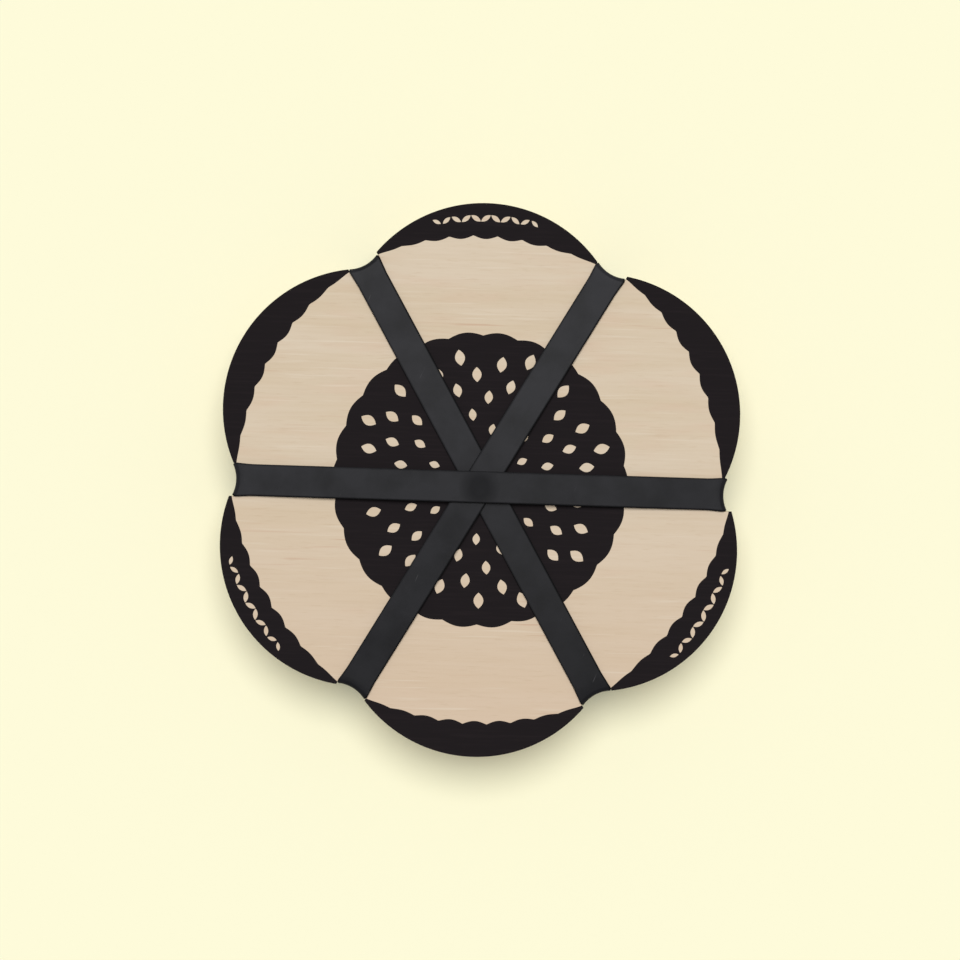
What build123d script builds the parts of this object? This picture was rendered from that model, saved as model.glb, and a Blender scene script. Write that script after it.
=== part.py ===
from build123d import *

# A flower press: two petal-shaped plywood boards with corrugated cards and blotting papers between them,
# pressed together by rubber bands that cross in the middle and sit in the notches between the petals.
# Millimetres, +Z up. The origin is on the surface that the press stands on, under the middle of the boards.
# +Y points at the tip of a petal, and +X runs along the band that lies over the others.

import os
from math import atan2, cos, degrees, radians, sin, sqrt, tan

# Petals: round lobes about the middle, two for each band.
band_count = 3
petal_radius = 44.1
petal_centre_radius = 42.9

# Rubber bands, and the seats that are cut for them where the petals meet, with a hollow curve at the bottom.
# They are all a little askew, and the upper two bands lie a little to one side of the middle.
band_width = 10.0
band_thickness = 1.1
band_clearance = 0.2
band_fold_radius = 1.3
band_flat_end = 4.0
band_turn = 0.5
middle_band_shift = 0.5
top_band_shift = 2.25
notch_radius = 12.0
notch_shortest_wall = 0.4
notch_corner_radius = 0.15

# Plywood boards.
board_thickness = 4.0
board_edge_radius = 0.3

# Corrugated cards: two liners with a wave of paper between them.
card_count = 6
card_thickness = 2.6
liner_thickness = 0.25
flute_pitch = 6.2
flute_paper = 0.25
flute_side_share = 0.25

# Blotting papers, a pair in each gap between two cards.
papers_per_gap = 2
paper_thickness = 0.5

# The loose sheets sit a little turned between the boards, each by its own share of its kind's angle.
card_turn = 0.35
paper_turn = 1.0
layer_turn_step = 75.0

# Worked out from the sizes above.
petal_count = 2 * band_count
petal_angle = 360.0 / petal_count
half_petal = radians(petal_angle / 2)
petal_tip_radius = petal_centre_radius + petal_radius


def rim_radius(aside):
    """How far out the rim of a petal lies, aside from the line between it and the next petal."""
    lobe_aside = petal_centre_radius * sin(half_petal) - aside
    return petal_centre_radius * cos(half_petal) + sqrt(petal_radius**2 - lobe_aside**2)


notch_width = band_width + 2 * band_clearance
notch_hollow = notch_radius - sqrt(notch_radius**2 - (notch_width / 2) ** 2)
notch_furthest_aside = top_band_shift + rim_radius(0) * sin(radians(band_turn))
notch_wall_end = rim_radius(notch_width / 2 - notch_furthest_aside)
notch_seat_radius = notch_wall_end - notch_shortest_wall - notch_hollow
notch_centre_radius = notch_seat_radius + notch_radius
layer_slack = notch_centre_radius * radians(max(card_turn, paper_turn))
band_angles = [-band_turn - petal_angle * (level + 1) for level in range(band_count)]
band_shifts = [0.0] * (band_count - 2) + [middle_band_shift, top_band_shift]
band_middles = [
    (-shift * sin(radians(angle)), shift * cos(radians(angle)))
    for angle, shift in zip(band_angles, band_shifts)
]

flute_height = card_thickness - 2 * liner_thickness
flute_side = flute_pitch * flute_side_share
flute_slope = atan2(flute_height, flute_side)
flute_channel_height = flute_height - flute_paper
flute_channel_width = flute_pitch / 2 + flute_side - flute_paper / sin(flute_slope)
flute_crown_radius = flute_side / 2
flute_count = 2 * int(petal_tip_radius / flute_pitch) + 1

gap_papers = papers_per_gap * (card_count - 1)
stack_bottom = band_count * band_thickness
layers_bottom = stack_bottom + board_thickness
layers_top = layers_bottom + card_count * card_thickness + gap_papers * paper_thickness
stack_top = layers_top + board_thickness
press_height = stack_top + band_count * band_thickness

os.makedirs("parts", exist_ok=True)


def save(piece, name):
    """Labels a finished piece and writes it under that name."""
    piece.label = name
    export_step(piece, f"parts/{name}.step")


def petal_outline(slack):
    """The petals as one outline, with the band seats between them widened by slack."""
    with BuildSketch() as seat:
        Circle(notch_radius + slack)
        Rectangle(2 * (notch_radius + slack), notch_width + 2 * slack, mode=Mode.INTERSECT)
    with BuildSketch() as outline:
        Circle(petal_centre_radius)
        with PolarLocations(petal_centre_radius, petal_count, start_angle=petal_angle / 2):
            Circle(petal_radius)
        for angle, middle in zip(band_angles, band_middles):
            with Locations(middle):
                with PolarLocations(notch_centre_radius, 2, start_angle=angle):
                    add(seat.sketch, mode=Mode.SUBTRACT)
        inside_tips = petal_tip_radius - notch_corner_radius
        corners = outline.vertices().filter_by(lambda v: Vector(v).length < inside_tips)
        fillet(corners, notch_corner_radius)
    return outline.sketch


board_outline = petal_outline(slack=0)
layer_outline = petal_outline(slack=layer_slack)


# Plywood boards, alike, with their edges just broken by sanding.
def board(name, z):
    """A plywood board whose underside is at z."""
    with BuildPart() as plywood:
        with BuildSketch(Plane.XY.offset(z)):
            add(board_outline)
        extrude(amount=board_thickness)
        fillet(plywood.faces().filter_by(Axis.Z).edges(), board_edge_radius)
    save(plywood.part, name)


board("bottom_board", stack_bottom)
board("top_board", layers_top)


# Corrugated card, with the channels of its wave running along Y.
with BuildSketch() as flute_channel:
    on_liner = (Align.CENTER, Align.MIN)
    Trapezoid(flute_channel_width, flute_channel_height, degrees(flute_slope), align=on_liner)
    fillet(flute_channel.vertices().group_by(Axis.Y)[-1], flute_crown_radius)

with BuildPart() as corrugated_card:
    add(layer_outline)
    extrude(amount=card_thickness)
    with BuildSketch(Plane.XZ):
        with Locations((0, liner_thickness)):
            with GridLocations(flute_pitch, 0, flute_count, 1):
                add(flute_channel.sketch)
        with Locations((flute_pitch / 2, card_thickness - liner_thickness)):
            with GridLocations(flute_pitch, 0, flute_count, 1):
                add(flute_channel.sketch, rotation=180)
    extrude(amount=petal_tip_radius, both=True, mode=Mode.SUBTRACT)

# Blotting paper, a plain sheet.
with BuildPart() as blotting_paper:
    add(layer_outline)
    extrude(amount=paper_thickness)


def layer(name, sheet, most_turn, z, index):
    """A loose sheet laid at z, turned by its own share of the most turn."""
    turn = -most_turn * (1 + cos(radians(index * layer_turn_step))) / 2
    with BuildPart() as placed:
        with Locations(Location((0, 0, z), (0, 0, turn))):
            add(sheet)
    save(placed.part, name)


# The layers from the top down: a card, a pair of papers, a card and so on, with a card last.
layer_z = layers_top
layer_index = 0
paper_number = 0
for card_number in range(1, card_count + 1):
    layer_z -= card_thickness
    layer(f"card_{card_number}", corrugated_card.part, card_turn, layer_z, layer_index)
    layer_index += 1
    if card_number < card_count:
        for _ in range(papers_per_gap):
            paper_number += 1
            layer_z -= paper_thickness
            layer(f"blotter_{paper_number}", blotting_paper.part, paper_turn, layer_z, layer_index)
            layer_index += 1

# Rubber bands: each is one loop round the stack, pulled straight from the fold at the boards' edge
# to the crossing in the middle, where it lies over the bands under it.
crossing = radians(petal_angle)
crossing_half_length = (
    band_width / 2 * (1 / sin(crossing) + 1 / tan(crossing)) + top_band_shift / tan(crossing) + band_clearance
)
band_climb_radius = notch_seat_radius - band_flat_end
band_inner_radius = notch_radius - band_clearance
band_outer_radius = band_inner_radius - band_thickness


def loop_corners(lift, thickness):
    """The loop's corners seen from its side, thickness outside the boards, with its middle lifted."""
    top = stack_top + thickness
    bottom = stack_bottom - thickness
    upper = [
        (-notch_centre_radius, top),
        (-band_climb_radius, top),
        (-crossing_half_length, top + lift),
    ]
    lower = [(u, bottom + top - z) for u, z in upper]
    return upper + [(-u, z) for u, z in reversed(upper)] + [(-u, z) for u, z in lower] + lower[::-1]


def loop_block(angle, lift, thickness, width, end_radius):
    """The loop's outline made as wide as given, with both ends hollowed to follow the seats."""
    with BuildPart() as block:
        with BuildSketch(Plane.XZ.rotated((0, 0, angle))):
            with BuildLine():
                Polyline(*loop_corners(lift, thickness), close=True)
            make_face()
        extrude(amount=width / 2, both=True)
        with BuildSketch():
            with PolarLocations(notch_centre_radius, 2, start_angle=angle):
                Circle(end_radius)
        extrude(amount=press_height, mode=Mode.SUBTRACT)
    return block.part


def rubber_band(name, angle, middle, level):
    """A band along the given angle and through the given middle, over as many bands as level says."""
    lift = level * band_thickness
    outside = loop_block(angle, lift, band_thickness, band_width, band_outer_radius)
    inside = loop_block(angle, lift, 0, 2 * band_width, band_inner_radius)
    with BuildPart() as band:
        with Locations(middle):
            add(outside)
            fillet(band.edges().filter_by(GeomType.CIRCLE), band_fold_radius)
            add(inside, mode=Mode.SUBTRACT)
    save(band.part, name)


for level, (angle, middle) in enumerate(zip(band_angles, band_middles)):
    rubber_band(f"rubber_band_{level + 1}", angle, middle, level)
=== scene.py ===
"""A petal-shaped flower press: the looks of its boards, sheets, print and rubber bands."""

import logging
import math
from dataclasses import dataclass, field
from enum import Enum

import bmesh
import bpy
from mathutils import Matrix, Vector


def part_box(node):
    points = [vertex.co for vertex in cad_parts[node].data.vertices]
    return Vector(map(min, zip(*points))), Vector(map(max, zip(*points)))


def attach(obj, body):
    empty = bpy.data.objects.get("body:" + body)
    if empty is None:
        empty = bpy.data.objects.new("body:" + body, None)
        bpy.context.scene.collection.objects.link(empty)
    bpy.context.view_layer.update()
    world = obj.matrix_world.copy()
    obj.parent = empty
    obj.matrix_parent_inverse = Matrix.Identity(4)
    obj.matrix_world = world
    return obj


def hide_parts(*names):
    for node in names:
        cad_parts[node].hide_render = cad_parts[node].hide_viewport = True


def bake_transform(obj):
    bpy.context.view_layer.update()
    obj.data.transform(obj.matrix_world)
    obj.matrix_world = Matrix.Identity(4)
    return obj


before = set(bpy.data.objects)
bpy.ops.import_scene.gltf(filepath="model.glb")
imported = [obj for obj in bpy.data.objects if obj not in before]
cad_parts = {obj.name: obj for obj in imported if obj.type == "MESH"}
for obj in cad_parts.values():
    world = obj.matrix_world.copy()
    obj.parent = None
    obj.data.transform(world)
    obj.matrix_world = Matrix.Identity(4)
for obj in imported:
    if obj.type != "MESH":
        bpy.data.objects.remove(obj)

MM = 0.001
LOG = logging.getLogger("flower_press")
Colour = tuple[float, float, float, float]
# A bevel with a round profile, in the material of the faces beside it.
ROUND_BEVEL = {"affect": "EDGES", "profile": 0.5, "material": -1}


def linear(hex_colour: str) -> Colour:
    """Turns an sRGB hex colour into linear light.

    Args:
        hex_colour: The colour as #RRGGBB.

    Returns:
        Red, green, blue and an alpha of 1.
    """
    srgb = [int(hex_colour[i : i + 2], 16) / 255 for i in (1, 3, 5)]
    light = [c / 12.92 if c <= 0.04045 else ((c + 0.055) / 1.055) ** 2.4 for c in srgb]
    return (*light, 1.0)


def add_node(tree: bpy.types.NodeTree, kind: str, inputs: dict | None = None, **settings) -> bpy.types.Node:
    """Adds a shader node with its settings and links.

    Args:
        tree: The node tree that the node joins.
        kind: The node's type without its ShaderNode prefix.
        inputs: Socket names or identifiers, each with a value, or with a socket or node to link from.
        settings: The node's own properties.

    Returns:
        The new node.
    """
    node = tree.nodes.new("ShaderNode" + kind)
    for name, value in settings.items():
        setattr(node, name, value)
    for name, value in (inputs or {}).items():
        socket = next(s for s in node.inputs if s.enabled and name in (s.name, s.identifier))
        if isinstance(value, bpy.types.Node):
            value = next(s for s in value.outputs if s.enabled)
        if isinstance(value, bpy.types.NodeSocket):
            tree.links.new(value, socket)
        else:
            socket.default_value = value
    return node


@dataclass(frozen=True)
class Grain:
    """Noise drawn out to a real size along each axis, with the levels between which a pattern sets in."""

    size_mm: tuple[float, float, float]
    start: float
    end: float
    most: float = 1.0
    detail: float = 2.0
    turn: float = 0.0

    def noise(self, tree: bpy.types.NodeTree) -> bpy.types.Node:
        """Lays the plain noise on a piece.

        Args:
            tree: The material's node tree.

        Returns:
            The noise node.
        """
        placed = {
            "Vector": add_node(tree, "TexCoord").outputs["Object"],
            "Rotation": (0, 0, math.radians(self.turn)),
            "Scale": [MM * size for size in self.size_mm],
        }
        place = add_node(tree, "Mapping", placed, vector_type="TEXTURE")
        return add_node(tree, "TexNoise", {"Vector": place, "Scale": 1.0, "Detail": self.detail})

    def strength(self, tree: bpy.types.NodeTree) -> bpy.types.Node:
        """Finds how strongly the pattern shows, which rises from 0 to the most between its two levels."""
        levels = {"From Min": self.start, "From Max": self.end, "To Max": self.most}
        return add_node(tree, "MapRange", {"Value": self.noise(tree), **levels})

    def layer(self, tree: bpy.types.NodeTree, under: bpy.types.Node | Colour, tint: str) -> bpy.types.Node:
        """Lays the pattern, in a tint given as #RRGGBB, over the colour that is under it."""
        mixed = {"Factor": self.strength(tree), "A": under, "B": linear(tint)}
        return add_node(tree, "Mix", mixed, data_type="RGBA")


@dataclass(frozen=True)
class Finish:
    """What every surface finish has: a name, its roughness, refraction and gloss, and a fine relief."""

    name: str
    roughness: float
    ior: float = 1.5
    gloss: float = 0.5
    relief: float = 0.25
    relief_depth: float = 0.05 * MM

    def material(self) -> bpy.types.Material:
        """Builds the material.

        Returns:
            The material, painted with the finish's own pattern.
        """
        material = bpy.data.materials.new(self.name)
        material.use_nodes = True
        tree = material.node_tree
        tree.nodes.clear()
        optics = {"Roughness": self.roughness, "IOR": self.ior, "Specular IOR Level": self.gloss}
        shader = add_node(tree, "BsdfPrincipled", optics)
        add_node(tree, "OutputMaterial", {"Surface": shader})
        self.paint(tree, shader)
        return material

    def paint(self, tree: bpy.types.NodeTree, shader: bpy.types.Node) -> None:
        """Draws the finish's pattern into the shader's sockets."""
        raise NotImplementedError

    def cover(
        self,
        tree: bpy.types.NodeTree,
        shader: bpy.types.Node,
        colour: bpy.types.Node,
        height: bpy.types.Node,
    ) -> None:
        """Gives the shader its colour and its relief.

        Args:
            tree: The material's node tree.
            shader: The shader that gets them.
            colour: The node with the colour.
            height: The noise that stands up as the relief.
        """
        tree.links.new(colour.outputs["Result"], shader.inputs["Base Color"])
        raised = {"Height": height, "Strength": self.relief, "Distance": self.relief_depth}
        tree.links.new(add_node(tree, "Bump", raised).outputs["Normal"], shader.inputs["Normal"])


@dataclass(frozen=True)
class BirchPlywood(Finish):
    """Sanded birch plywood: a rotary-cut veneer with fine fibres along X, and plies on its sawn edge."""

    # A pale, even face with soft hairlines and a few reddish streaks, made a little darker and pinker towards
    # -Y by painted shade. The edge shows light and dark plies with thin glue lines between them.
    roughness: float = 0.55
    underside: float = 0.0
    thickness: float = 4.0 * MM
    plies: int = 3
    smoother: float = 0.08
    rougher: float = 0.1
    face_deep: str = "#CEBA9D"
    face_pale: str = "#D3C1A8"
    figure: Grain = Grain((110, 6.5, 60), 0.36, 0.64, detail=3)
    blush: str = "#D0B69B"
    blush_patches: Grain = Grain((24, 5, 30), 0.5, 0.75, most=0.6)
    warm_shade_side: tuple[float, float] = (5.0 * MM, -75.0 * MM)
    most_warm_shade: float = 0.7
    fibre: str = "#BDA483"
    hairlines: Grain = Grain((15, 0.5, 9), 0.52, 0.78, most=0.14, detail=4)
    flecks: Grain = Grain((5, 0.45, 5), 0.62, 0.76, most=0.28, detail=1)
    pith: str = "#DED0BB"
    pith_lines: Grain = Grain((26, 0.7, 20), 0.36, 0.24, most=0.35, detail=1)
    streak: str = "#B98C6C"
    streak_lines: Grain = Grain((26, 0.7, 20), 0.64, 0.76, detail=1)
    streak_places: Grain = Grain((40, 13, 30), 0.54, 0.68, most=0.5, detail=1)
    edge_facing: tuple[float, float] = (0.75, 0.55)
    edge_long: str = "#C9AC84"
    edge_end: str = "#9C7549"
    pores: Grain = Grain((1.2, 1.2, 0.18), 0.1, 0.55, detail=3)
    glue: str = "#6E5136"
    glue_line: tuple[float, float] = (0.09, 0.03)
    most_glue: float = 0.8

    def paint(self, tree: bpy.types.NodeTree, shader: bpy.types.Node) -> None:
        """Paints the veneer on the faces and the plies on the edges.

        Args:
            tree: The material's node tree.
            shader: The shader that gets the pattern.
        """
        fibre = self.hairlines.noise(tree)
        edge, on_edge = self.sawn_edge(tree)
        both = {"Factor": on_edge, "A": self.veneer(tree), "B": edge}
        self.cover(tree, shader, add_node(tree, "Mix", both, data_type="RGBA"), fibre)
        smooth, rough = self.roughness - self.smoother, self.roughness + self.rougher
        sheen = add_node(tree, "MapRange", {"Value": fibre, "To Min": smooth, "To Max": rough})
        tree.links.new(sheen.outputs["Result"], shader.inputs["Roughness"])

    def veneer(self, tree: bpy.types.NodeTree) -> bpy.types.Node:
        """Paints the face veneer.

        Args:
            tree: The material's node tree.

        Returns:
            The node with the face's colour.
        """
        face = self.figure.layer(tree, linear(self.face_deep), self.face_pale)
        place = add_node(tree, "SeparateXYZ", {"Vector": add_node(tree, "TexCoord").outputs["Object"]})
        # Painted shade: towards -Y the face takes on more and more of the darker, pinker blush tone.
        start, end = self.warm_shade_side
        side = {"Value": place.outputs["Y"], "From Min": start, "From Max": end, "To Max": self.most_warm_shade}
        blush_and_shade = {"Value": self.blush_patches.strength(tree), "Value_001": add_node(tree, "MapRange", side)}
        blush_and_shade = add_node(tree, "Math", blush_and_shade, operation="MAXIMUM")
        face = add_node(tree, "Mix", {"Factor": blush_and_shade, "A": face, "B": linear(self.blush)}, data_type="RGBA")
        face = self.hairlines.layer(tree, face, self.fibre)
        face = self.flecks.layer(tree, face, self.fibre)
        face = self.pith_lines.layer(tree, face, self.pith)
        both = {"Value": self.streak_lines.strength(tree), "Value_001": self.streak_places.strength(tree)}
        both = add_node(tree, "Math", both, operation="MULTIPLY")
        return add_node(tree, "Mix", {"Factor": both, "A": face, "B": linear(self.streak)}, data_type="RGBA")

    def sawn_edge(self, tree: bpy.types.NodeTree) -> tuple[bpy.types.Node, bpy.types.Node]:
        """Paints the plies that show on the board's edge.

        Args:
            tree: The material's node tree.

        Returns:
            The node with the edge's colour, and the one that is 1 on the edge and 0 on the faces.
        """
        coords = add_node(tree, "TexCoord")
        place = add_node(tree, "SeparateXYZ", {"Vector": coords.outputs["Object"]})
        ply = {"Value": place.outputs["Z"], "From Min": self.underside, "To Max": self.plies}
        ply = add_node(tree, "MapRange", {**ply, "From Max": self.underside + self.thickness})
        facing = add_node(tree, "SeparateXYZ", {"Vector": coords.outputs["Normal"]})
        lying, ends, sides = (
            add_node(tree, "Math", {"Value": facing.outputs[axis]}, operation="ABSOLUTE") for axis in "ZXY"
        )
        flat, upright = self.edge_facing
        on_edge = add_node(tree, "MapRange", {"Value": lying, "From Min": flat, "From Max": upright})
        # The middle ply's grain runs across the others', so it shows its ends where they show their sides.
        turned = add_node(tree, "Math", {"Value": ply, "Value_001": 2.0}, operation="MODULO")
        middle = add_node(tree, "Math", {"Value": turned, "Value_001": 1.0}, operation="GREATER_THAN")
        cut = add_node(tree, "Mix", {"Factor": middle, "A": ends, "B": sides}, data_type="FLOAT")
        grey = {"Value": cut, "Value_001": self.pores.noise(tree)}
        grey = add_node(tree, "Math", grey, operation="MULTIPLY")
        depth = {"Value": grey, "From Min": self.pores.start, "From Max": self.pores.end}
        edge = {"Factor": add_node(tree, "MapRange", depth), "A": linear(self.edge_long)}
        edge = add_node(tree, "Mix", {**edge, "B": linear(self.edge_end)}, data_type="RGBA")
        start, end = self.glue_line
        seam = add_node(tree, "Math", {"Value": ply, "Value_001": 1.0}, operation="PINGPONG")
        dark = {"Value": seam, "From Min": start, "From Max": end, "To Max": self.most_glue}
        glued = {"Factor": add_node(tree, "MapRange", dark), "A": edge, "B": linear(self.glue)}
        return add_node(tree, "Mix", glued, data_type="RGBA"), on_edge


@dataclass(frozen=True)
class KraftCard(Finish):
    """Corrugated kraft card: brown unbleached paper, rolled into a wave between two liners."""

    # A matt, mottled brown with pale fibres that cross and small dark specks.
    name: str = "kraft_card"
    roughness: float = 0.85
    relief: float = 0.35
    relief_depth: float = 0.06 * MM
    deep: str = "#A07C53"
    paper: str = "#B7946B"
    clouds: Grain = Grain((7, 7, 3), 0.35, 0.65, detail=4)
    pale: str = "#CBAE88"
    fibres: tuple[Grain, ...] = (
        Grain((5, 0.3, 0.3), 0.6, 0.78, most=0.5, turn=24),
        Grain((5, 0.3, 0.3), 0.6, 0.78, most=0.5, turn=-37),
    )
    speck: str = "#6B4C30"
    specks: Grain = Grain((0.9, 0.6, 0.6), 0.7, 0.78, most=0.6, detail=1)

    def paint(self, tree: bpy.types.NodeTree, shader: bpy.types.Node) -> None:
        """Paints the paper's clouds, fibres and specks.

        Args:
            tree: The material's node tree.
            shader: The shader that gets the pattern.
        """
        colour = self.clouds.layer(tree, linear(self.deep), self.paper)
        for fibres in self.fibres:
            colour = fibres.layer(tree, colour, self.pale)
        colour = self.specks.layer(tree, colour, self.speck)
        self.cover(tree, shader, colour, self.fibres[-1].noise(tree))


@dataclass(frozen=True)
class BlottingPaper(Finish):
    """Blotting paper: unsized cotton paper, thick and soft."""

    # A dull off-white with a cloudy felt of short fibres, and hardly any gloss.
    name: str = "blotting_paper"
    roughness: float = 0.95
    relief: float = 0.4
    relief_depth: float = 0.1 * MM
    cloud: str = "#E3DCCB"
    paper: str = "#F0EBDF"
    felt: Grain = Grain((2.4, 2.4, 0.6), 0.35, 0.62, detail=5)
    fibre: str = "#F8F5EC"
    hairs: Grain = Grain((2.5, 0.3, 0.2), 0.58, 0.75, most=0.6, turn=31)

    def paint(self, tree: bpy.types.NodeTree, shader: bpy.types.Node) -> None:
        """Paints the felt of fibres.

        Args:
            tree: The material's node tree.
            shader: The shader that gets the pattern.
        """
        colour = self.felt.layer(tree, linear(self.cloud), self.paper)
        colour = self.hairs.layer(tree, colour, self.fibre)
        self.cover(tree, shader, colour, self.felt.noise(tree))


@dataclass(frozen=True)
class ExtrudedRubber(Finish):
    """Black extruded rubber strip: drawn through a die, with its edges cut."""

    # A dark grey with a soft sheen, faint draw lines, a few small scuffs and a grey bloom. Painted shade
    # makes it darker towards one side of the press, along its cut edges and on the crest where the bands
    # cross; these places are duller as well.
    name: str = "extruded_rubber"
    roughness: float = 0.3
    gloss: float = 0.042
    relief: float = 0.08
    relief_depth: float = 0.02 * MM
    black: str = "#202022"
    bloom: str = "#2B2B2E"
    clouds: Grain = Grain((11, 11, 11), 0.3, 0.6, detail=4)
    cloud_share: float = 0.7
    roughness_swing: float = 0.06
    side_shade_way: tuple[float, float, float] = (0.29, -0.96, 0.0)
    side_shade_range: tuple[float, float] = (-25.0 * MM, 70.0 * MM)
    most_side_shade: float = 0.5
    worn_and_shaded: str = "#0C0C0D"
    dull_roughness: float = 0.75
    half_width: float = 5.0 * MM
    edge_line: tuple[float, float] = (0.65 * MM, 0.25 * MM)
    edge_shade: tuple[float, float] = (0.85, 0.4)
    crest: tuple[float, float, float] = (0.0, 0.0, 0.0)
    crest_size: tuple[float, float, float] = (5.4 * MM, 6.0 * MM, 1.2 * MM)
    crest_range: tuple[float, float] = (1.25, 0.5)
    crest_shade: float = 0.42
    scuff: str = "#6A6A6C"
    scuffs: Grain = Grain((6, 0.35, 5), 0.78, 0.86, most=0.5, detail=1, turn=68)
    draw_line: float = 0.45 * MM

    def paint(self, tree: bpy.types.NodeTree, shader: bpy.types.Node) -> None:
        """Paints the bloom, the painted shade and the scuffs, and lets the draw lines vary the gloss.

        Args:
            tree: The material's node tree.
            shader: The shader that gets the pattern.
        """
        colour = self.clouds.layer(tree, linear(self.black), self.bloom)
        # Painted shade: the rubber is darkened more and more towards one side of the press.
        place = {"Vector": add_node(tree, "TexCoord").outputs["Object"], "Vector_001": self.side_shade_way}
        along = add_node(tree, "VectorMath", place, operation="DOT_PRODUCT").outputs["Value"]
        start, end = self.side_shade_range
        side_shade = {"Value": along, "From Min": start, "From Max": end, "To Max": self.most_side_shade}
        across = add_node(tree, "Attribute", attribute_name="across").outputs["Fac"]
        worn_and_shaded = self.painted_shade_places(tree, across)
        for share in (add_node(tree, "MapRange", side_shade), worn_and_shaded):
            mixed = {"Factor": share, "A": colour, "B": linear(self.worn_and_shaded)}
            colour = add_node(tree, "Mix", mixed, data_type="RGBA")
        colour = self.scuffs.layer(tree, colour, self.scuff)
        line = add_node(tree, "Math", {"Value": across, "Value_001": self.draw_line}, operation="DIVIDE")
        drawn = add_node(tree, "TexNoise", {"W": line, "Scale": 1.0, "Detail": 1.0}, noise_dimensions="1D")
        self.cover(tree, shader, colour, drawn)
        both = {"Factor": self.cloud_share, "A": drawn, "B": self.clouds.noise(tree)}
        both = add_node(tree, "Mix", both, data_type="FLOAT")
        smooth, rough = self.roughness - self.roughness_swing, self.roughness + self.roughness_swing
        sheen = add_node(tree, "MapRange", {"Value": both, "To Min": smooth, "To Max": rough})
        dulled = {"Factor": worn_and_shaded, "A": sheen, "B": self.dull_roughness}
        dulled = add_node(tree, "Mix", dulled, data_type="FLOAT")
        tree.links.new(dulled.outputs["Result"], shader.inputs["Roughness"])

    def painted_shade_places(self, tree: bpy.types.NodeTree, across: bpy.types.NodeSocket) -> bpy.types.Node:
        """Finds where painted shade darkens and dulls the rubber: along the cut edges and on the crest where
        the bands cross.

        Args:
            tree: The material's node tree.
            across: The place across the band, from its middle.

        Returns:
            The node with how strongly the rubber is shaded and dulled, from 0 where it isn't.
        """
        # Painted shade along both cut edges, deeper on the +across side.
        inner, outer = (self.half_width - depth for depth in self.edge_line)
        edges = []
        for side, most in zip((1, -1), self.edge_shade):
            edge = {"Value": across, "From Min": side * inner, "From Max": side * outer, "To Max": most}
            edges.append(add_node(tree, "MapRange", edge))
        edge = add_node(tree, "Math", {"Value": edges[0], "Value_001": edges[1]}, operation="MAXIMUM")
        # Painted shade on the crest of the top band, which lies flat where the bands cross.
        coords = add_node(tree, "TexCoord")
        placed = {"Vector": coords.outputs["Object"], "Location": self.crest, "Scale": self.crest_size}
        place = add_node(tree, "Mapping", placed, vector_type="TEXTURE")
        away = add_node(tree, "VectorMath", {"Vector": place}, operation="LENGTH").outputs["Value"]
        start, end = self.crest_range
        shaded_crest = {"Value": away, "From Min": start, "From Max": end, "To Max": self.crest_shade}
        shaded_crest = add_node(tree, "MapRange", shaded_crest)
        return add_node(tree, "Math", {"Value": edge, "Value_001": shaded_crest}, operation="MAXIMUM")


@dataclass(frozen=True)
class PrintInk(Finish):
    """Screen-printed black ink, in one thin coat on bare wood."""

    # A matt, warm black, thin enough for the wood's fibres to show in it.
    name: str = "printing_ink"
    roughness: float = 0.75
    gloss: float = 0.1
    relief: float = 0.2
    relief_depth: float = 0.03 * MM
    black: str = "#1A1517"
    worn_and_shaded: str = "#201A1C"
    fibres: Grain = Grain((15, 0.5, 9), 0.5, 0.75, detail=4)

    def paint(self, tree: bpy.types.NodeTree, shader: bpy.types.Node) -> None:
        """Paints the wood's fibres into the ink."""
        colour = self.fibres.layer(tree, linear(self.black), self.worn_and_shaded)
        self.cover(tree, shader, colour, self.fibres.noise(tree))


def dress(node: str, material: bpy.types.Material) -> None:
    """Gives a piece of the frame its material.

    Args:
        node: The piece's name.
        material: The material that covers it.
    """
    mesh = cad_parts[node].data
    mesh.materials.clear()
    mesh.materials.append(material)
    LOG.info("%s: %s", node, material.name)


def finished(name: str, shape: bmesh.types.BMesh, material: bpy.types.Material) -> bpy.types.Object:
    """Turns a modelled shape into an object of the scene.

    Args:
        name: The piece's name.
        shape: The shape, which is freed.
        material: The material that covers it.

    Returns:
        The new object, at the origin.
    """
    mesh = bpy.data.meshes.new(name)
    shape.to_mesh(mesh)
    shape.free()
    mesh.materials.append(material)
    piece = bpy.data.objects.new(name, mesh)
    bpy.context.scene.collection.objects.link(piece)
    LOG.info("%s: %d faces, %s", name, len(mesh.polygons), material.name)
    return piece


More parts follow.
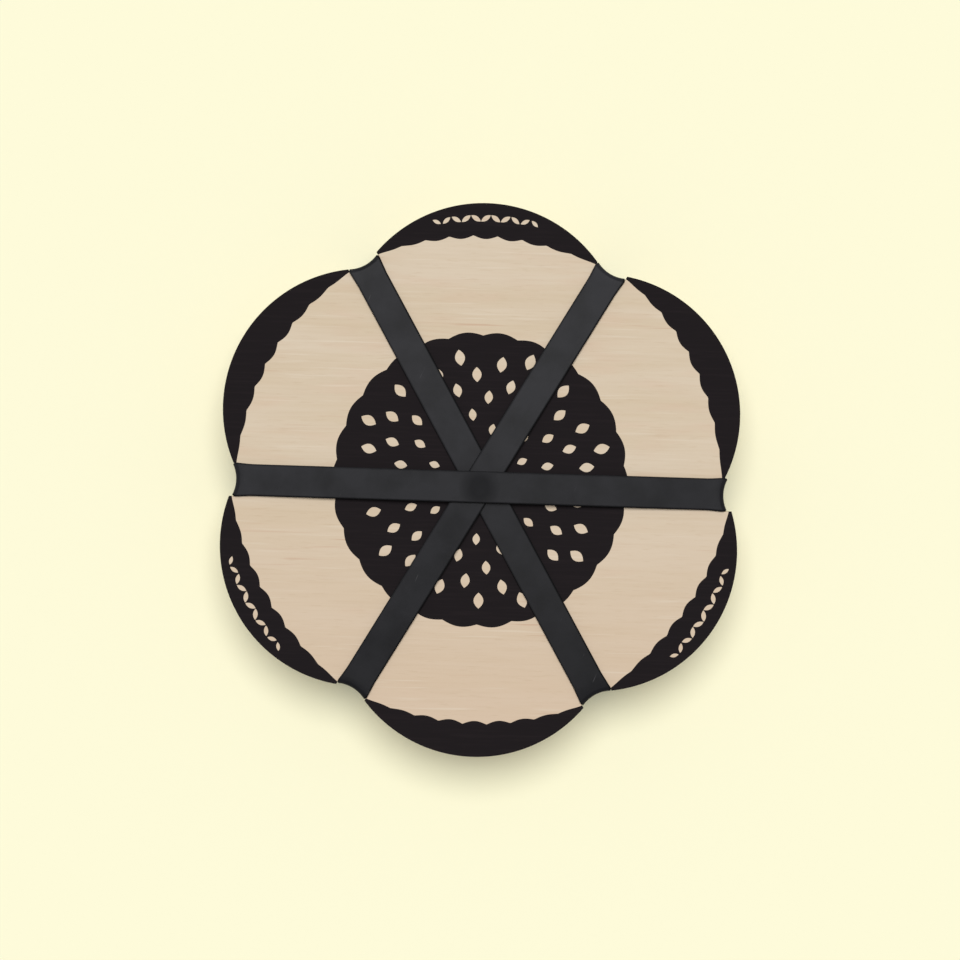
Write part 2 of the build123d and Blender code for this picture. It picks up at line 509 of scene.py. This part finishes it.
@dataclass
class Stack:
    """The two boards and the loose sheets between them."""

    boards: tuple[str, str] = ("bottom_board", "top_board")
    card: str = "card_"
    paper: str = "blotter_"
    bands: tuple[str, ...] = ("rubber_band_1", "rubber_band_2", "rubber_band_3")
    band_turn: float = -0.5
    petals: int = 6
    underside: float = field(init=False)
    face: float = field(init=False)
    tip_radius: float = field(init=False)
    band_boxes: list[tuple[Vector, Vector]] = field(init=False)

    def __post_init__(self) -> None:
        """Reads the heights of the outer faces, the petals' reach and the bands' places from the frame."""
        self.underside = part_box(self.boards[0])[0].z
        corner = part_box(self.boards[1])[1]
        self.face, self.tip_radius = corner.z, corner.y
        self.band_boxes = [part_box(band) for band in self.bands]

    def band_middle(self, level: int) -> Vector:
        """Gives the middle of a band, seen from above, which can lie a little beside that of the boards."""
        low, high = self.band_boxes[level]
        return (low + high).xy / 2

    def band_angle(self, level: int) -> float:
        """Gives the angle from +X at which a band runs, in degrees."""
        return self.band_turn - (level + 1) * 360 / self.petals

    def dress(self) -> None:
        """Gives every board, card and paper its material."""
        for board in self.boards:
            low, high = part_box(board)
            plywood = BirchPlywood(f"birch_plywood_{board}", underside=low.z, thickness=high.z - low.z)
            dress(board, plywood.material())
        kraft = KraftCard().material()
        blotting = BlottingPaper().material()
        for node in sorted(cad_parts):
            if node.startswith(self.card):
                dress(node, kraft)
            elif node.startswith(self.paper):
                dress(node, blotting)


class Motif(Enum):
    """What is left open in the print on a petal's border."""

    PLAIN = "plain"
    GARLAND = "garland"


@dataclass
class Print:
    """The black print on the top board: a scalloped border on each petal, and a disc with seeds between."""

    stack: Stack
    ink: bpy.types.Material
    body: str = "top_board"
    film: float = 0.03 * MM
    petal_radius: float = 44.1 * MM
    seat_width: float = 10.4 * MM
    seat_out: float = 77.5 * MM
    edge_radius: float = 0.3 * MM
    edge_steps: int = 4
    edge_wrap: float = 0.45 * MM
    border_depth: float = 10.2 * MM
    border_end: float = 0.9 * MM
    border_scallops: int = 9
    scallop_depth: float = 1.1 * MM
    arc_steps: int = 144
    garland_leaves: int = 11
    garland_length: float = 31.0 * MM
    garland_place: float = 0.47
    garland_taper: float = 0.9
    leaf_length: float = 3.6 * MM
    leaf_width: float = 1.5 * MM
    leaf_lean: float = 34.0
    disc_radius: float = 46.5 * MM
    disc_scallops: int = 26
    scallop_steps: int = 12
    lens_steps: int = 20
    seeds: int = 82
    seed_spacing: float = 4.45 * MM
    seed_length: tuple[float, float] = (2.4 * MM, 5.2 * MM)
    seed_slimness: float = 0.62

    def build(self) -> None:
        """Makes the disc and the borders, and fixes them to the board."""
        pieces = [self.disc()]
        for petal in range(self.stack.petals):
            motif = Motif.PLAIN if petal % 2 else Motif.GARLAND
            pieces.append(self.border(petal, motif))
        for piece in pieces:
            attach(piece, self.body)

    def lens(self, shape: bmesh.types.BMesh, place: Matrix, length: float, width: float) -> None:
        """Adds the outline of a seed or leaf: two bows that meet in points.

        Args:
            shape: The flat shape that gets the outline.
            place: Where the lens lies, with its length along the place's Y.
            length: From point to point.
            width: Across the middle.
        """
        ring = bmesh.ops.create_circle(shape, segments=self.lens_steps, radius=1.0)["verts"]
        for corner in ring:
            corner.co.x *= abs(corner.co.x)
        size = Matrix.Diagonal((width / 2, length / 2, 1.0, 1.0))
        bmesh.ops.transform(shape, matrix=place @ size, verts=ring)

    def plate(self, shape: bmesh.types.BMesh, depth: float) -> None:
        """Fills a flat outline, with its openings, and makes it a plate that stands just proud of the board.

        Args:
            shape: Closed outlines on the plane z = 0.
            depth: How far the plate goes down into the board.
        """
        bmesh.ops.triangle_fill(shape, edges=shape.edges[:], use_beauty=True, normal=(0, 0, 1))
        bmesh.ops.translate(shape, verts=shape.verts[:], vec=(0, 0, self.stack.face - depth))
        raised = bmesh.ops.extrude_face_region(shape, geom=shape.faces[:])["geom"]
        top = [part for part in raised if isinstance(part, bmesh.types.BMVert)]
        bmesh.ops.translate(shape, verts=top, vec=(0, 0, depth + self.film))
        bmesh.ops.recalc_face_normals(shape, faces=shape.faces[:])

    def disc(self) -> bpy.types.Object:
        """Makes the disc, with its seeds set out in a sunflower's spiral.

        Returns:
            The disc's object.
        """
        shape = bmesh.new()
        steps = self.disc_scallops * self.scallop_steps
        rim = bmesh.ops.create_circle(shape, segments=steps, radius=self.disc_radius)["verts"]
        for point in rim:
            angle = math.atan2(point.co.y, point.co.x)
            bow = abs(math.cos(self.disc_scallops * angle / 2))
            point.co *= 1 - self.scallop_depth * (1 - bow) / self.disc_radius
        golden_angle = math.pi * (3 - math.sqrt(5))
        shortest, longest = self.seed_length
        for seed in range(self.seeds):
            share = math.sqrt((seed + 0.5) / self.seeds)
            out = share * self.seed_spacing * math.sqrt(self.seeds)
            length = shortest + (longest - shortest) * share
            turn = Matrix.Rotation(seed * golden_angle, 4, "Z")
            self.lens(shape, turn @ Matrix.Translation((0, out, 0)), length, length * self.seed_slimness)
        self.plate(shape, self.film)
        return finished("printed_disc", shape, self.ink)

    def reach(self, petal: int, side: int) -> float:
        """Finds how far a petal's curve goes before a band's seat cuts it off.

        Args:
            petal: The petal's number, counted from the one on +Y.
            side: 1 for the end that lies anticlockwise from the petal's tip, -1 for the other.

        Returns:
            The angle from the tip, seen from the middle of the petal's curve.
        """
        between = math.pi / self.stack.petals
        seat_angle = math.pi / 2 + (2 * petal + side) * between
        # Clockwise from +X, the seats belong to the bands in turn, from the lowest to the top one.
        level = -1 - round(seat_angle / (2 * between))
        aside = Vector((-math.sin(seat_angle), math.cos(seat_angle)))
        shift = self.stack.band_middle(level % len(self.stack.bands)).dot(aside)
        askew = self.seat_out * math.sin(math.radians(self.stack.band_turn))
        wall = self.seat_width / 2 - side * (shift + askew) - self.film
        middle = (self.stack.tip_radius - self.petal_radius) * math.sin(between)
        return math.acos((wall - middle) / (self.petal_radius + self.film)) - math.pi / 2 + between

    def border(self, petal: int, motif: Motif) -> bpy.types.Object:
        """Makes one petal's border, which wraps a little way over the board's edge.

        Args:
            petal: The petal's number, counted from the one on +Y.
            motif: What is left open in it.

        Returns:
            The border's object.
        """
        shape = bmesh.new()
        between = math.pi / self.stack.petals
        left, right = self.reach(petal, 1), self.reach(petal, -1)
        ends = [self.on_curve(left), self.on_curve(-right)]
        walls = [Vector((side * math.sin(between), -math.cos(between), 0)) for side in (1, -1)]
        starts = [end + self.border_end * wall for end, wall in zip(ends, walls)]
        crown = Vector((0, self.stack.tip_radius - self.border_depth, 0))
        for point in bmesh.ops.create_circle(shape, segments=2 * self.arc_steps, radius=1.0)["verts"]:
            around = math.atan2(point.co.y, point.co.x) / math.pi
            share = abs(around)
            if around >= 0:
                point.co = self.on_curve(share * left - (1 - share) * right)
            else:
                # The way back runs between the two starts, without the ends of the curve.
                share = (share * self.arc_steps - 1) / (self.arc_steps - 2)
                bulge = 4 * share * (1 - share)
                base = starts[0] * share + starts[1] * (1 - share)
                bow = abs(math.sin(self.border_scallops * math.pi * share))
                point.co = base + (crown - (starts[0] + starts[1]) / 2) * bulge
                point.co.y -= self.scallop_depth * bow * bulge
        if motif is Motif.GARLAND:
            self.garland(shape)
        self.plate(shape, self.edge_wrap)
        self.round_rim(shape)
        turn = Matrix.Rotation(2 * petal * between, 4, "Z")
        bmesh.ops.transform(shape, matrix=turn, verts=shape.verts[:])
        return finished(f"printed_border_{petal + 1}", shape, self.ink)

    def on_curve(self, angle: float) -> Vector:
        """Gives a point on the curve of the petal on +Y.

        Args:
            angle: The angle anticlockwise from the petal's tip, seen from the middle of its curve.

        Returns:
            The point, on the plane z = 0.
        """
        radius = self.petal_radius + self.film
        middle = self.stack.tip_radius - self.petal_radius
        return Vector((-radius * math.sin(angle), middle + radius * math.cos(angle), 0))

    def garland(self, shape: bmesh.types.BMesh) -> None:
        """Adds a row of leaves that lean to and fro along the middle of a border.

        Args:
            shape: The border's flat outline, which gets the leaves as openings.
        """
        radius = self.stack.tip_radius - self.garland_place * self.border_depth
        spread = self.garland_length / radius
        for leaf in range(self.garland_leaves):
            share = leaf / (self.garland_leaves - 1) - 0.5
            lean = math.radians(90 + (self.leaf_lean if leaf % 2 else -self.leaf_lean))
            place = (
                Matrix.Rotation(spread * share, 4, "Z")
                @ Matrix.Translation((0, radius, 0))
                @ Matrix.Rotation(lean, 4, "Z")
            )
            size = 1 - self.garland_taper * share**2
            self.lens(shape, place, self.leaf_length * size, self.leaf_width * size)

    def round_rim(self, shape: bmesh.types.BMesh) -> None:
        """Rounds a border's outer rim like the edge of the board under it.

        Args:
            shape: The border's plate, still at the petal on +Y.
        """
        near = 0.02 * MM
        middle = Vector((0, self.stack.tip_radius - self.petal_radius))
        rim = []
        for edge in shape.edges:
            on_top = all(v.co.z > self.stack.face for v in edge.verts)
            out = [(v.co.xy - middle).length - self.petal_radius for v in edge.verts]
            if on_top and min(out) > -near:
                rim.append(edge)
        bmesh.ops.bevel(shape, geom=rim, offset=self.edge_radius, segments=self.edge_steps, **ROUND_BEVEL)


@dataclass
class Studio:
    """The camera over the press, the light, and the pale sweep under it."""

    stack: Stack
    view_width: float = 301.5 * MM
    camera_height: float = 1.2
    camera_roll: float = 1.3
    sensor: float = 36.0
    sweep_size: float = 6.0
    sweep_drop: float = 0.05 * MM
    paper: str = "#FEFBDA"
    paper_glow: float = 0.2
    paper_bounce: str = "#F2EFE6"
    lamp_lean: float = 14.0
    lamp_spread: float = 32.0
    lamp_strength: float = 2.433
    sky: float = 0.25

    def build(self) -> None:
        """Makes the sweep, the light and the camera."""
        self.sweep()
        self.lamp()
        self.world()
        self.camera()
        bpy.context.scene.view_settings.view_transform = "Standard"

    def seen(self, tree: bpy.types.NodeTree) -> bpy.types.Node:
        """Finds what is looked at, straight or in a reflection.

        Args:
            tree: The node tree that asks.

        Returns:
            A node that is 1 for such a ray and 0 for light on its way to a surface.
        """
        path = add_node(tree, "LightPath")
        kinds = [path.outputs[kind] for kind in ("Is Camera Ray", "Is Glossy Ray", "Is Transmission Ray")]
        first = add_node(tree, "Math", {"Value": kinds[0], "Value_001": kinds[1]}, operation="MAXIMUM")
        return add_node(tree, "Math", {"Value": first, "Value_001": kinds[2]}, operation="MAXIMUM")

    def sweep(self) -> None:
        """Lays the pale paper that the press stands on."""
        shape = bmesh.new()
        bmesh.ops.create_grid(shape, x_segments=1, y_segments=1, size=self.sweep_size)
        bmesh.ops.translate(shape, verts=shape.verts[:], vec=(0, 0, -self.sweep_drop))
        # Matt cream paper: an even, bright tone with soft shadows, which throws a plainer white at the press.
        material = bpy.data.materials.new("cream_paper_sweep")
        material.use_nodes = True
        tree = material.node_tree
        tree.nodes.clear()
        seen = self.seen(tree)
        tints = {"A": linear(self.paper_bounce), "B": linear(self.paper)}
        colour = add_node(tree, "Mix", {"Factor": seen, **tints}, data_type="RGBA")
        matt = add_node(tree, "BsdfDiffuse", {"Color": colour})
        glow = add_node(tree, "Emission", {"Color": linear(self.paper)})
        share = {"Value": seen, "Value_001": self.paper_glow}
        share = add_node(tree, "Math", share, operation="MULTIPLY")
        surface = add_node(tree, "MixShader", {"Fac": share, "Shader": matt, "Shader_001": glow})
        add_node(tree, "OutputMaterial", {"Surface": surface})
        finished("paper_sweep", shape, material)

    def lamp(self) -> None:
        """Hangs one broad, far lamp over the far side of the press, so that the sweep is lit evenly."""
        light = bpy.data.lights.new("softbox", "SUN")
        light.angle = math.radians(self.lamp_spread)
        light.energy = self.lamp_strength
        lamp = bpy.data.objects.new("softbox", light)
        lamp.rotation_euler = (-math.radians(self.lamp_lean), 0, 0)
        bpy.context.scene.collection.objects.link(lamp)

    def world(self) -> None:
        """Fills the room with a little even light, and shows the paper's colour past the sweep's end."""
        world = bpy.data.worlds.new("room")
        world.use_nodes = True
        tree = world.node_tree
        tree.nodes.clear()
        fill = add_node(tree, "Background", {"Color": (1, 1, 1, 1), "Strength": self.sky})
        shown = add_node(tree, "Background", {"Color": linear(self.paper), "Strength": 1.0})
        camera = add_node(tree, "LightPath").outputs["Is Camera Ray"]
        both = add_node(tree, "MixShader", {"Fac": camera, "Shader": fill, "Shader_001": shown})
        add_node(tree, "OutputWorld", {"Surface": both})
        bpy.context.scene.world = world

    def camera(self) -> None:
        """Hangs the camera straight over the middle, turned a little as the picture is."""
        data = bpy.data.cameras.new("camera")
        data.sensor_width = self.sensor
        data.lens = self.sensor * self.camera_height / self.view_width
        camera = bpy.data.objects.new("camera", data)
        camera.location = (0, 0, self.stack.face + self.camera_height)
        camera.rotation_euler = (0, 0, math.radians(self.camera_roll))
        bpy.context.scene.collection.objects.link(camera)
        bpy.context.scene.camera = camera


@dataclass
class RubberBand:
    """A flat rubber loop round the stack, which runs over the bands under it and folds down in notches."""

    level: int
    stack: Stack
    rubber: bpy.types.Material
    width: float = 10.0 * MM
    curl_radius: float = 10.7 * MM
    fold_radius: float = 0.9 * MM
    fold_steps: int = 7
    bend_length: float = 5.0 * MM
    bend_steps: int = 4
    crossing_half: float = 10.2 * MM
    flat_end: float = 4.75 * MM
    longest_step: float = 5.0 * MM
    across_steps: int = 12
    edge_radius: float = 0.22 * MM
    edge_steps: int = 2
    edge_angle: float = 50.0
    flare: float = 0.35 * MM
    thickness: float = field(init=False)
    mid_curl: float = field(init=False)
    wall: float = field(init=False)

    def __post_init__(self) -> None:
        """Reads the bands' thickness and reach from the frame."""
        self.thickness = self.stack.band_boxes[0][1].z - self.stack.face
        self.mid_curl = self.curl_radius + self.thickness / 2
        half, askew = self.width / 2, abs(math.radians(self.stack.band_turn))
        top_reach = self.stack.band_boxes[-1][1].x - self.stack.band_middle(-1).x
        reach = (top_reach - half * math.sin(askew)) / math.cos(askew)
        self.wall = reach + math.sqrt(self.curl_radius**2 - half**2) - self.mid_curl

    def build(self) -> None:
        """Models the band round the stack, in place of the frame's own band."""
        shape = bmesh.new()
        self.loop(shape)
        self.round_bends(shape)
        self.divide(shape)
        self.curl(shape)
        node = self.stack.bands[self.level]
        place = Matrix.Translation((*self.stack.band_middle(self.level), 0))
        turn = Matrix.Rotation(math.radians(self.stack.band_angle(self.level)), 4, "Z")
        bmesh.ops.transform(shape, matrix=place @ turn, verts=shape.verts[:])
        bmesh.ops.recalc_face_normals(shape, faces=shape.faces[:])
        band = finished(f"{node}_loop", shape, self.rubber)
        band.data.shade_smooth()
        wall = band.modifiers.new("wall", "SOLIDIFY")
        wall.thickness = self.thickness
        wall.offset = 0.0
        wall.use_even_offset = True
        edge = band.modifiers.new("edge", "BEVEL")
        edge.width = self.edge_radius
        edge.segments = self.edge_steps
        edge.limit_method = "ANGLE"
        edge.angle_limit = math.radians(self.edge_angle)
        edge.harden_normals = True
        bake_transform(band)
        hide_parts(node)

    def loop(self, shape: bmesh.types.BMesh) -> None:
        """Lays the loop's corners round the stack and widens it into a strip.

        Args:
            shape: The empty shape that gets the strip, along X.
        """
        top = self.stack.face + self.thickness / 2
        bottom = self.stack.underside - self.thickness / 2
        lift = self.level * self.thickness
        climb = self.wall - self.flat_end
        right = [(self.crossing_half, lift), (climb, 0), (self.wall, 0)]
        upper = [(-u, top + z) for u, z in reversed(right)] + [(u, top + z) for u, z in right]
        lower = [(-u, bottom + top - z) for u, z in upper]
        ring = [shape.verts.new((u, -self.width / 2, z)) for u, z in upper + lower]
        edges = [shape.edges.new((ring[i - 1], ring[i])) for i in range(len(ring))]
        wide = bmesh.ops.extrude_edge_only(shape, edges=edges)["geom"]
        far = [part for part in wide if isinstance(part, bmesh.types.BMVert)]
        bmesh.ops.translate(shape, verts=far, vec=(0, self.width, 0))

    def across(self, edge: bmesh.types.BMEdge) -> bool:
        """Says whether an edge of the strip, before it is divided, runs across it and not along it."""
        first, second = edge.verts
        return abs(first.co.y - second.co.y) > self.width / 2

    def round_bends(self, shape: bmesh.types.BMesh) -> None:
        """Rounds the folds over the boards' edges, and the slight bends beside the crossing.

        Args:
            shape: The strip with its sharp corners.
        """
        near = 0.01 * MM
        folds = [e for e in shape.edges if self.across(e) and abs(e.verts[0].co.x) > self.wall - near]
        bends = [e for e in shape.edges if self.across(e) and abs(e.verts[0].co.x) < self.wall - near]
        bmesh.ops.bevel(shape, geom=folds, offset=self.fold_radius, segments=self.fold_steps, **ROUND_BEVEL)
        if self.level:
            half = self.bend_length / 2
            bmesh.ops.bevel(shape, geom=bends, offset=half, segments=self.bend_steps, **ROUND_BEVEL)

    def divide(self, shape: bmesh.types.BMesh) -> None:
        """Cuts the strip finely enough to curl across its width, and marks each point's place across it.

        Args:
            shape: The strip with its bends rounded.
        """
        across = [e for e in shape.edges if self.across(e)]
        bmesh.ops.subdivide_edges(shape, edges=across, cuts=self.across_steps - 1, use_grid_fill=True)
        while long := [e for e in shape.edges if e.calc_length() > self.longest_step]:
            bmesh.ops.subdivide_edges(shape, edges=long, cuts=1, use_grid_fill=True)
        place = shape.verts.layers.float.new("across")
        for point in shape.verts:
            point[place] = point.co.y

    def curl(self, shape: bmesh.types.BMesh) -> None:
        """Curls the ends of the loop into the hollow of the notches, and lets the folds spread a little.

        Args:
            shape: The strip, finely divided.
        """
        start = self.wall - self.flat_end
        for point in shape.verts:
            share = min(max((abs(point.co.x) - start) / self.flat_end, 0), 1)
            # The curl sets in and ends softly.
            share *= share * (3 - 2 * share)
            bow = self.mid_curl - math.sqrt(self.mid_curl**2 - point.co.y**2)
            point.co.x += math.copysign(share * bow, point.co.x)
            outside = max(point.co.z - self.stack.face, self.stack.underside - point.co.z) / self.thickness
            spread = share * self.flare * min(max(outside + 0.5, 0), 1)
            point.co.y *= 1 + 2 * spread / self.width


def main() -> None:
    """Dresses the press, piece by piece, and sets up the studio round it."""
    logging.basicConfig(level=logging.INFO, format="%(name)s: %(message)s")
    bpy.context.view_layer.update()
    stack = Stack()
    stack.dress()
    Print(stack, PrintInk().material()).build()
    top_level = len(stack.bands) - 1
    crest = (*stack.band_middle(top_level), stack.band_boxes[top_level][1].z)
    rubber = ExtrudedRubber(crest=crest).material()
    for level in range(len(stack.bands)):
        RubberBand(level, stack, rubber).build()
    Studio(stack).build()


if __name__ == "__main__":
    main()
